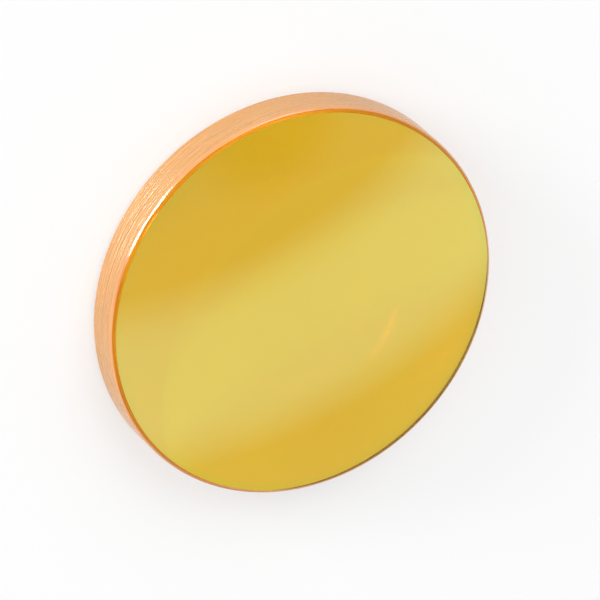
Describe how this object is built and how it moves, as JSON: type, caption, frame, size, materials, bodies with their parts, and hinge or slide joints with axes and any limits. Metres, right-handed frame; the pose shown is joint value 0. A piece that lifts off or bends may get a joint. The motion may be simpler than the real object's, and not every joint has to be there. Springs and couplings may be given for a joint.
{
  "type": "laser focusing lens",
  "caption": "Round plano-convex lens in clear golden-yellow zinc selenide that focuses an infrared laser beam, with a ground edge and narrow bevels round both faces.",
  "frame": {"origin": "centre of the flat face, on the optical axis", "axes": "+Z along the optical axis, out of the convex face; the lens is the same all round, so +X and +Y are any two directions across it"},
  "size_m": [0.018, 0.018, 0.0032],
  "materials": {
    "zinc_selenide": "clear golden yellow, both faces polished and coated, edge and bevels finely ground"
  },
  "bodies": {
    "root": {"lens": "zinc_selenide"}
  },
  "joints": []
}
